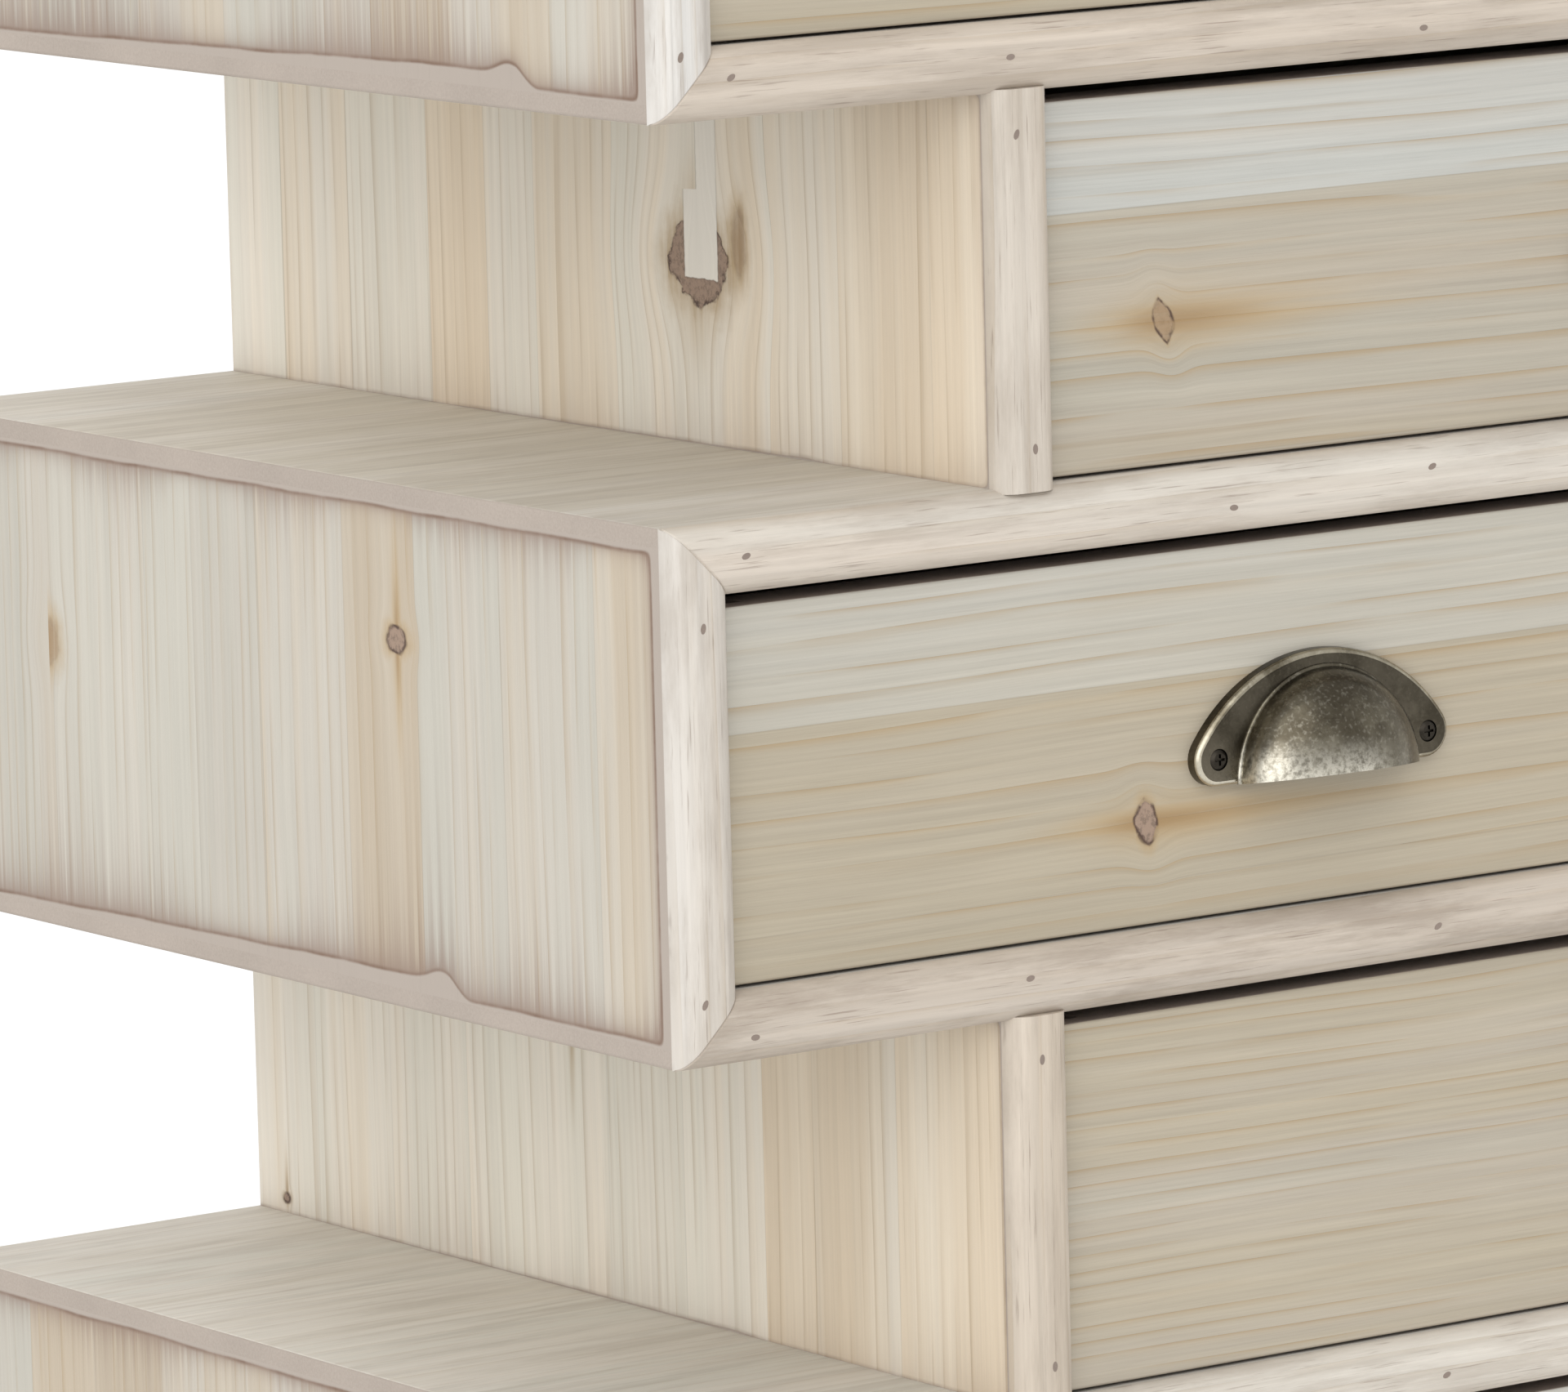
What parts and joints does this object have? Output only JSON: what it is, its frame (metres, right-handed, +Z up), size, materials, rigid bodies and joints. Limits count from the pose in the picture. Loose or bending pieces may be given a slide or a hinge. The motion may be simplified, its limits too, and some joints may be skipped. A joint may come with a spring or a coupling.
{
  "type": "stepped chest of drawers",
  "caption": "Tall narrow chest of shallow drawers, its tiers stepped left and right in turn, in pale fir with half-round mouldings and aged cup pulls.",
  "frame": {"origin": "on the floor, under the middle of the whole chest", "axes": "+Z up, +Y from front to back, +X to the right seen from the front"},
  "size_m": [0.507, 0.3714, 0.841],
  "materials": {
    "fir_veneer": "matt, vertical grain",
    "fir_front": "matt, grain across",
    "fir_moulding": "matt, limed fir",
    "deck_board": "matt fibreboard",
    "back_board": "matt fibreboard",
    "drawer_wood": "plain sanded wood",
    "drawer_base": "thin plywood",
    "aged_brass": "aged, worn bright",
    "dark_screw": "blackened",
    "glide_plastic": "matt"
  },
  "bodies": {
    "carcass": {"deck_1": "deck_board", "deck_2": "deck_board", "deck_3": "deck_board", "deck_4": "deck_board", "deck_5": "deck_board", "deck_6": "deck_board", "deck_7": "deck_board", "deck_8": "deck_board", "left_side_panels": "fir_veneer", "right_side_panels": "fir_veneer", "back_panels": "back_board", "front_rails": "fir_moulding", "left_stiles": "fir_moulding", "right_stiles": "fir_moulding", "drawer_stops": "drawer_wood", "carcass_dowels": "drawer_wood", "floor_glides": "glide_plastic"},
    "drawer_1": {"drawer_1_front": "fir_front", "drawer_1_sides": "drawer_wood", "drawer_1_back": "drawer_wood", "drawer_1_bottom": "drawer_base", "drawer_1_pull": "aged_brass", "drawer_1_pull_screws": "dark_screw"},
    "drawer_2": {"drawer_2_front": "fir_front", "drawer_2_sides": "drawer_wood", "drawer_2_back": "drawer_wood", "drawer_2_bottom": "drawer_base", "drawer_2_pull": "aged_brass", "drawer_2_pull_screws": "dark_screw"},
    "drawer_3": {"drawer_3_front": "fir_front", "drawer_3_sides": "drawer_wood", "drawer_3_back": "drawer_wood", "drawer_3_bottom": "drawer_base", "drawer_3_pull": "aged_brass", "drawer_3_pull_screws": "dark_screw"},
    "drawer_4": {"drawer_4_front": "fir_front", "drawer_4_sides": "drawer_wood", "drawer_4_back": "drawer_wood", "drawer_4_bottom": "drawer_base", "drawer_4_pull": "aged_brass", "drawer_4_pull_screws": "dark_screw"},
    "drawer_5": {"drawer_5_front": "fir_front", "drawer_5_sides": "drawer_wood", "drawer_5_back": "drawer_wood", "drawer_5_bottom": "drawer_base", "drawer_5_pull": "aged_brass", "drawer_5_pull_screws": "dark_screw"},
    "drawer_6": {"drawer_6_front": "fir_front", "drawer_6_sides": "drawer_wood", "drawer_6_back": "drawer_wood", "drawer_6_bottom": "drawer_base", "drawer_6_pull": "aged_brass", "drawer_6_pull_screws": "dark_screw"},
    "drawer_7": {"drawer_7_front": "fir_front", "drawer_7_sides": "drawer_wood", "drawer_7_back": "drawer_wood", "drawer_7_bottom": "drawer_base", "drawer_7_pull": "aged_brass", "drawer_7_pull_screws": "dark_screw"}
  },
  "joints": [
    {"name": "drawer_1_slide", "type": "slide", "parent": "carcass", "child": "drawer_1", "axis": [0, -1, 0], "range_m": [0, 0.24]},
    {"name": "drawer_2_slide", "type": "slide", "parent": "carcass", "child": "drawer_2", "axis": [0, -1, 0], "range_m": [0, 0.24]},
    {"name": "drawer_3_slide", "type": "slide", "parent": "carcass", "child": "drawer_3", "axis": [0, -1, 0], "range_m": [0, 0.24]},
    {"name": "drawer_4_slide", "type": "slide", "parent": "carcass", "child": "drawer_4", "axis": [0, -1, 0], "range_m": [0, 0.24]},
    {"name": "drawer_5_slide", "type": "slide", "parent": "carcass", "child": "drawer_5", "axis": [0, -1, 0], "range_m": [0, 0.24]},
    {"name": "drawer_6_slide", "type": "slide", "parent": "carcass", "child": "drawer_6", "axis": [0, -1, 0], "range_m": [0, 0.24]},
    {"name": "drawer_7_slide", "type": "slide", "parent": "carcass", "child": "drawer_7", "axis": [0, -1, 0], "range_m": [0, 0.24]}
  ]
}
